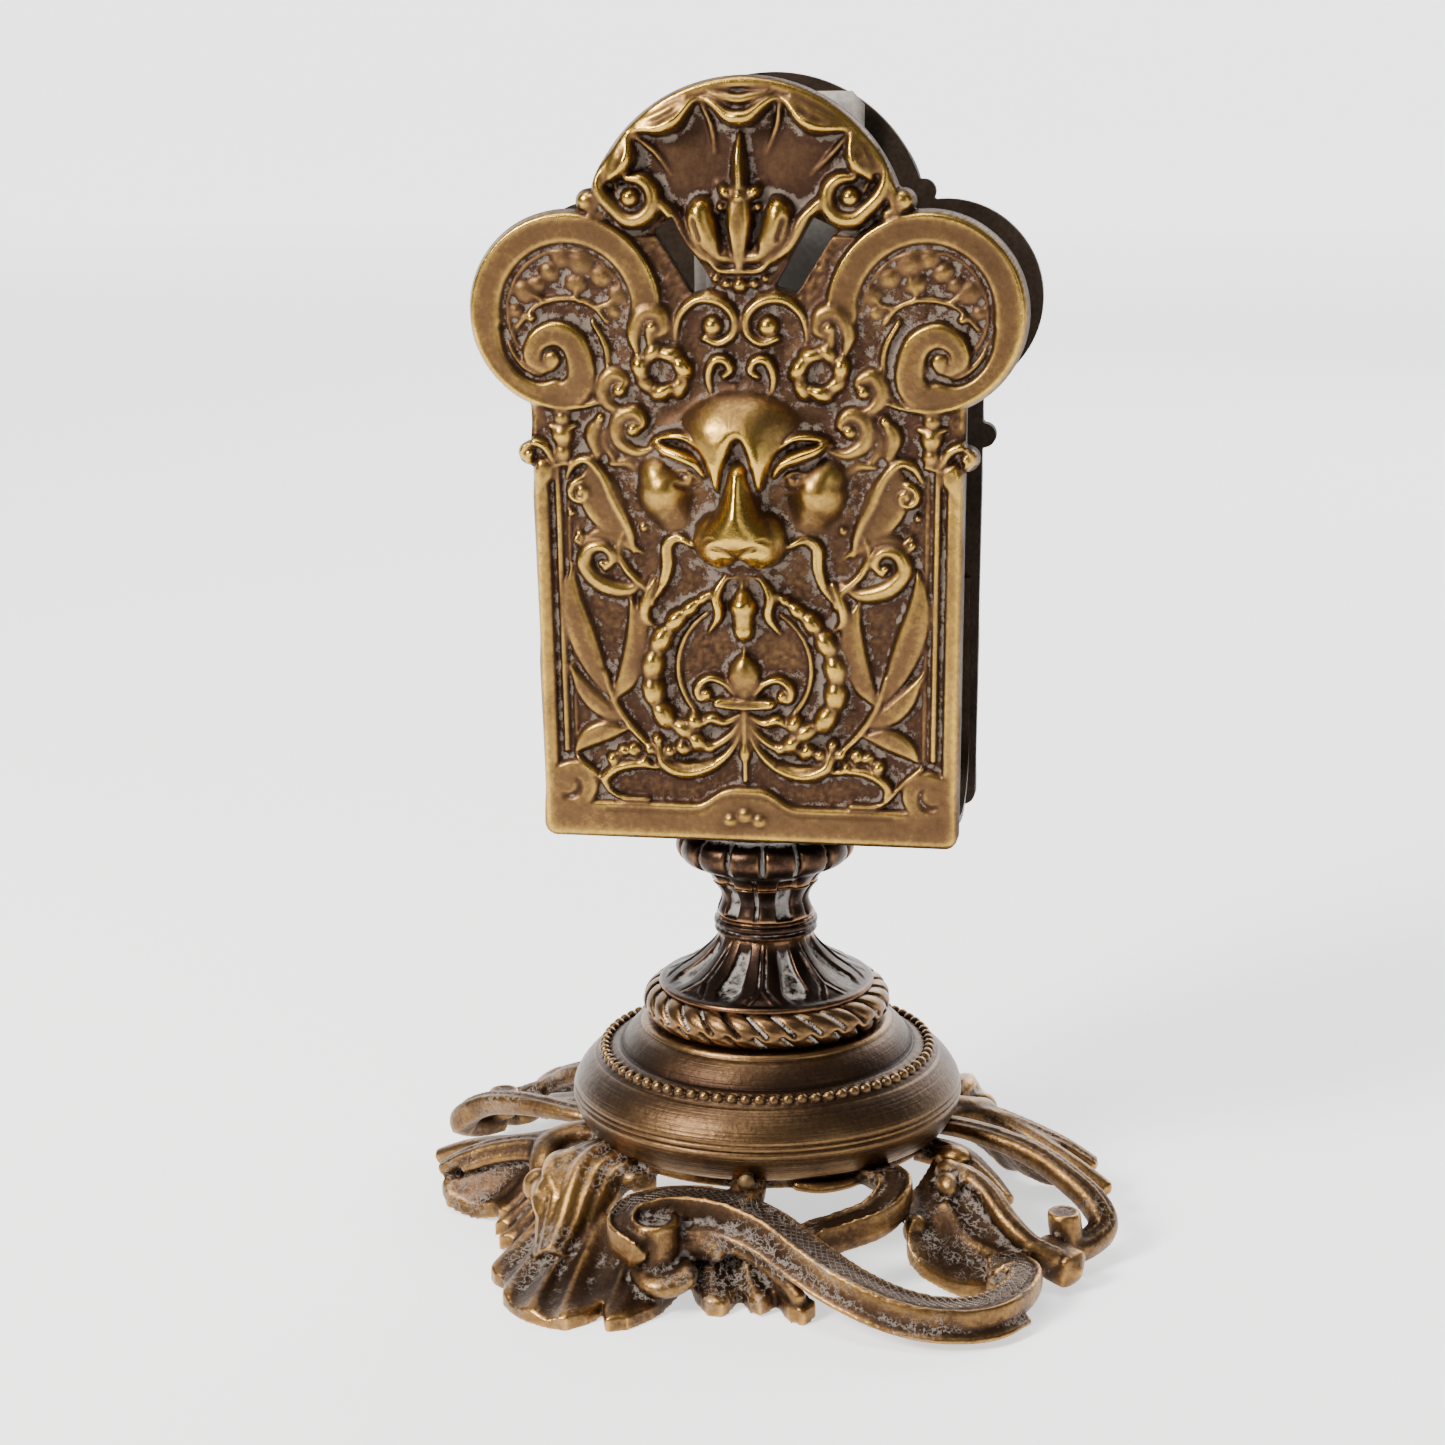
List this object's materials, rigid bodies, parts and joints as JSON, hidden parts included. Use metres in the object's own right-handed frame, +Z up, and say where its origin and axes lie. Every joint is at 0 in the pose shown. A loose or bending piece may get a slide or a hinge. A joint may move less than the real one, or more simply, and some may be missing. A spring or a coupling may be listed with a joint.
{
  "type": "desk blotter holder",
  "caption": "Pedestal desk stand that keeps blotting slips between two relief-cast plates, on a turned stem and a pierced scroll foot.",
  "frame": {"origin": "on the table, on the stem's axis, which is the middle of the footprint", "axes": "+Z up, the front plate with the lion mask towards -Y, +X to the right of someone who faces the front plate"},
  "size_m": [0.103, 0.0938, 0.1619],
  "materials": {
    "plate_bronze": "worn dark bronze with rubbed golden high points",
    "trough_brass": "dull dark sheet brass",
    "stem_bronze": "dark brown patina with pale residue in the grooves",
    "rope_brass": "golden brown, rubbed",
    "dome_brass": "turned olive brass, satin",
    "foot_bronze": "brown casting, dusty in its hollows",
    "fastener_brass": "dull brass",
    "rod_steel": "dark oiled steel",
    "blotting_paper": "matt soft paper"
  },
  "bodies": {
    "stand": {"front_plate": "plate_bronze", "back_plate": "plate_bronze", "u_trough": "trough_brass", "front_rivets": "fastener_brass", "back_rivets": "fastener_brass", "saddle_washer": "fastener_brass", "top_nut": "fastener_brass", "tie_rod": "rod_steel", "gadroon_cap": "stem_bronze", "fluted_cup": "stem_bronze", "stem_collar": "stem_bronze", "leaf_flare": "stem_bronze", "rope_ring": "rope_brass", "dome": "dome_brass", "foot_plate": "foot_bronze", "foot_pins": "fastener_brass", "lower_washer": "fastener_brass", "lower_nut": "fastener_brass"},
    "slips": {"blotting_slips": "blotting_paper"}
  },
  "joints": [
    {"name": "slips_lift", "type": "slide", "parent": "stand", "child": "slips", "axis": [0, 0, 1], "range_m": [0, 0.094]}
  ]
}
